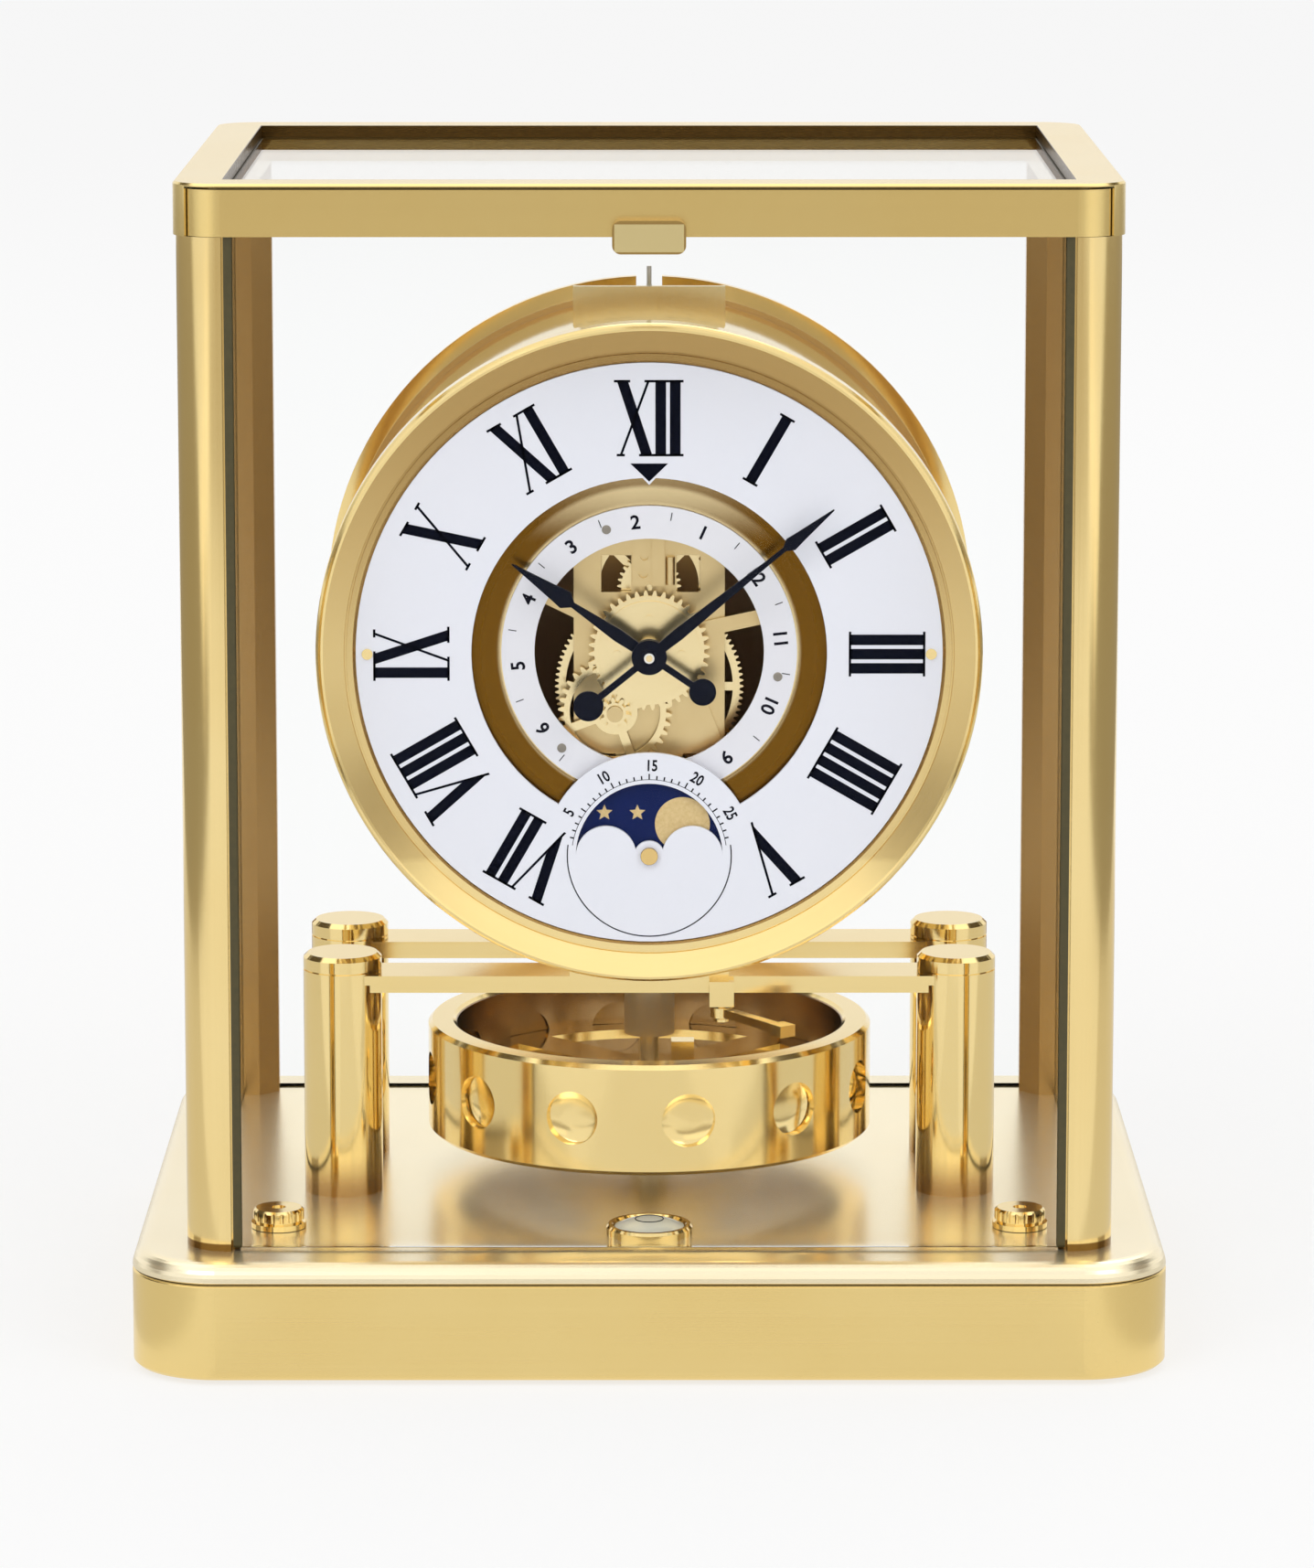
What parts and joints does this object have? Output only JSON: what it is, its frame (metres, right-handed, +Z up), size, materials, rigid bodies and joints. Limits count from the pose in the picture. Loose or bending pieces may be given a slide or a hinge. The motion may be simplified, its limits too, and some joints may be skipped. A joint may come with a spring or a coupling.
{
  "type": "moon phase desk clock",
  "caption": "Glazed brass desk clock with a round open dial, month ring and moon phase, and a drilled torsion balance ring below",
  "frame": {"origin": "centre of the footprint, at the underside of the feet", "axes": "X runs left to right as seen from the door, Y runs from the door to the back, Z runs up"},
  "size_m": [0.19, 0.153, 0.2182],
  "materials": {
    "brass_polished": "polished and lacquered brass",
    "brass_brushed": "brushed brass",
    "movement_brass": "fine grained brass",
    "glass": "clear pane",
    "dial_white": "white satin paint",
    "night_blue": "dark blue paint",
    "hand_black": "blue black gloss",
    "steel": "fine steel",
    "vial_glass": "clear domed glass"
  },
  "bodies": {
    "case": {"base_plinth": "brass_brushed", "base_top": "brass_polished", "foot_rear": "steel", "level_housing": "brass_polished", "level_vial": "vial_glass", "post_front_left": "brass_polished", "post_front_right": "brass_polished", "post_rear_left": "brass_polished", "post_rear_right": "brass_polished", "top_frame": "brass_brushed", "top_glass": "glass", "glass_left": "glass", "glass_right": "glass", "glass_rear": "glass", "columns": "brass_polished", "column_caps": "brass_polished", "beam_front": "brass_polished", "beam_rear": "brass_polished", "drum_saddles": "brass_polished", "torsion_wire": "steel", "suspension_tube": "brass_polished", "head_block": "brass_polished", "drum_case": "brass_brushed", "drum_cover": "brass_polished", "bellows_case": "movement_brass", "bezel": "brass_brushed", "dial_plate": "dial_white", "dial_screws": "movement_brass", "month_seat": "brass_polished", "front_plate": "movement_brass", "rear_plate": "movement_brass", "plate_posts": "movement_brass", "train_cock": "movement_brass"},
    "door": {"door_glass": "glass", "door_header": "brass_brushed", "door_tab": "brass_polished"},
    "left_screw": {"levelling_left": "brass_polished"},
    "right_screw": {"levelling_right": "brass_polished"},
    "left_foot": {"foot_front_left": "steel"},
    "right_foot": {"foot_front_right": "steel"},
    "lock": {"lock_lever": "brass_polished"},
    "balance": {"balance_ring": "brass_brushed", "balance_web": "brass_polished", "balance_spindle": "steel"},
    "regulator": {"regulator_index": "brass_polished"},
    "bellows": {"bellows_head": "movement_brass"},
    "months": {"month_ring": "dial_white", "month_wheel": "movement_brass"},
    "moon": {"moon_disc": "night_blue"},
    "minute": {"centre_wheel": "movement_brass", "cannon_pinion": "steel", "minute_hand": "hand_black", "hand_nut": "steel"},
    "hour": {"hour_wheel": "movement_brass", "hour_hand": "hand_black"},
    "minute_gear": {"minute_wheel": "movement_brass"},
    "third": {"third_wheel": "movement_brass"},
    "great": {"great_wheel": "movement_brass"},
    "escape": {"escape_wheel": "movement_brass"},
    "pallets": {"pallet_fork": "steel"}
  },
  "joints": [
    {"name": "minute_turn", "type": "hinge", "parent": "case", "child": "minute", "pos_m": [0, -0.04, 0.1289], "axis": [0, 1, 0], "continuous": true},
    {"name": "hour_turn", "type": "hinge", "parent": "case", "child": "hour", "pos_m": [0, -0.04, 0.1289], "axis": [0, 1, 0], "continuous": true},
    {"name": "minute_gear_turn", "type": "hinge", "parent": "case", "child": "minute_gear", "pos_m": [-0.00635, -0.034, 0.117], "axis": [0, 1, 0], "continuous": true},
    {"name": "third_turn", "type": "hinge", "parent": "case", "child": "third", "pos_m": [0, -0.03, 0.14014], "axis": [0, 1, 0], "continuous": true},
    {"name": "great_turn", "type": "hinge", "parent": "case", "child": "great", "pos_m": [0, -0.025, 0.1207], "axis": [0, 1, 0], "continuous": true},
    {"name": "escape_turn", "type": "hinge", "parent": "case", "child": "escape", "pos_m": [0, -0.026, 0.15364], "axis": [0, 1, 0], "continuous": true},
    {"name": "month_turn", "type": "hinge", "parent": "case", "child": "months", "pos_m": [0, -0.037, 0.1289], "axis": [0, 1, 0], "continuous": true},
    {"name": "moon_turn", "type": "hinge", "parent": "case", "child": "moon", "pos_m": [0, -0.039, 0.091], "axis": [0, 1, 0], "continuous": true},
    {"name": "pallet_rock", "type": "hinge", "parent": "case", "child": "pallets", "pos_m": [0, -0.026, 0.1634], "axis": [0, 1, 0], "range_deg": [-3, 3]},
    {"name": "balance_swing", "type": "hinge", "parent": "case", "child": "balance", "pos_m": [0, 0, 0.04], "axis": [0, 0, 1], "range_deg": [-200, 200], "stiffness_Nm_per_rad": 0.000004},
    {"name": "door_tilt", "type": "hinge", "parent": "case", "child": "door", "pos_m": [0, -0.0649, 0.0242], "axis": [1, 0, 0], "range_deg": [0, 20]},
    {"name": "lock_swing", "type": "hinge", "parent": "case", "child": "lock", "pos_m": [0.0136, -0.027, 0.0584], "axis": [0, 0, 1], "range_deg": [-40, 60]},
    {"name": "left_screw_turn", "type": "hinge", "parent": "case", "child": "left_screw", "pos_m": [-0.0688, -0.048, 0.0235], "axis": [0, 0, 1], "range_deg": [-722, 722]},
    {"name": "right_screw_turn", "type": "hinge", "parent": "case", "child": "right_screw", "pos_m": [0.0688, -0.048, 0.0235], "axis": [0, 0, 1], "range_deg": [-722, 722]},
    {"name": "left_foot_slide", "type": "slide", "parent": "case", "child": "left_foot", "axis": [0, 0, 1], "range_m": [-0.0014, 0.0014]},
    {"name": "right_foot_slide", "type": "slide", "parent": "case", "child": "right_foot", "axis": [0, 0, 1], "range_m": [-0.0014, 0.0014]},
    {"name": "regulator_turn", "type": "hinge", "parent": "case", "child": "regulator", "pos_m": [0, 0, 0.1915], "axis": [0, 0, 1], "range_deg": [-20, 20]},
    {"name": "bellows_breathe", "type": "slide", "parent": "case", "child": "bellows", "axis": [0, -1, 0], "range_m": [-0.001, 0.0015], "stiffness_N_per_m": 3000}
  ],
  "couplings": [
    {"joint": "hour_turn", "follows": "minute_turn", "ratio": 0.083333},
    {"joint": "minute_gear_turn", "follows": "minute_turn", "ratio": -0.33333},
    {"joint": "third_turn", "follows": "minute_turn", "ratio": -1},
    {"joint": "great_turn", "follows": "minute_turn", "ratio": 0.125},
    {"joint": "escape_turn", "follows": "minute_turn", "ratio": 4},
    {"joint": "month_turn", "follows": "minute_turn", "ratio": 0.00011408},
    {"joint": "moon_turn", "follows": "minute_turn", "ratio": 0.00070548},
    {"joint": "left_screw_turn", "follows": "left_foot_slide", "rad_per_m": -8976},
    {"joint": "right_screw_turn", "follows": "right_foot_slide", "rad_per_m": -8976}
  ]
}
